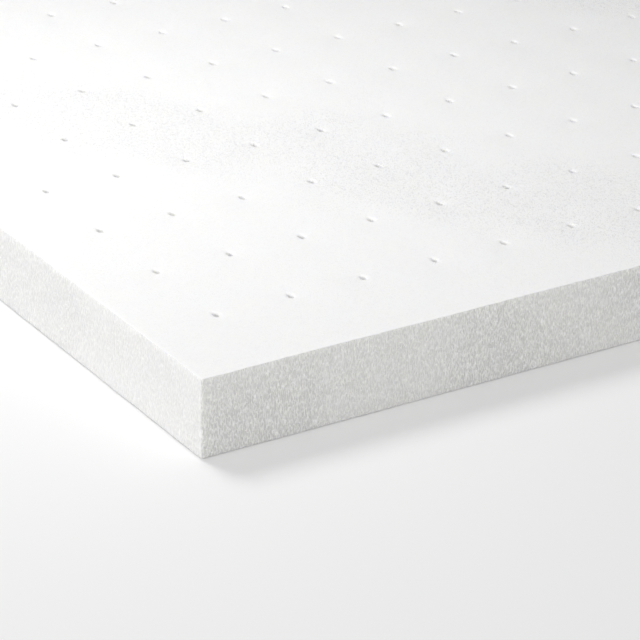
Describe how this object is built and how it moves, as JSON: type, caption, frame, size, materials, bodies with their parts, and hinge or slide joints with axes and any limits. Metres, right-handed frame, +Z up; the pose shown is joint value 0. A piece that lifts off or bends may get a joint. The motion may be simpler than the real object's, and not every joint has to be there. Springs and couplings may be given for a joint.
{
  "type": "mattress topper",
  "caption": "Flat ventilated foam mattress topper for a single bed, with straight cut sides and small oval vent holes punched right through in an even grid.",
  "frame": {"origin": "centre of the underside, which rests on the mattress", "axes": "+Z up through the thickness, +Y along the bed's length, +X across its width"},
  "size_m": [0.9906, 1.905, 0.0762],
  "materials": {
    "foam": "matte white open-cell foam, smooth sliced top, coarser short vertical pores on the cut sides"
  },
  "bodies": {
    "root": {"foam_slab": "foam"}
  },
  "joints": []
}
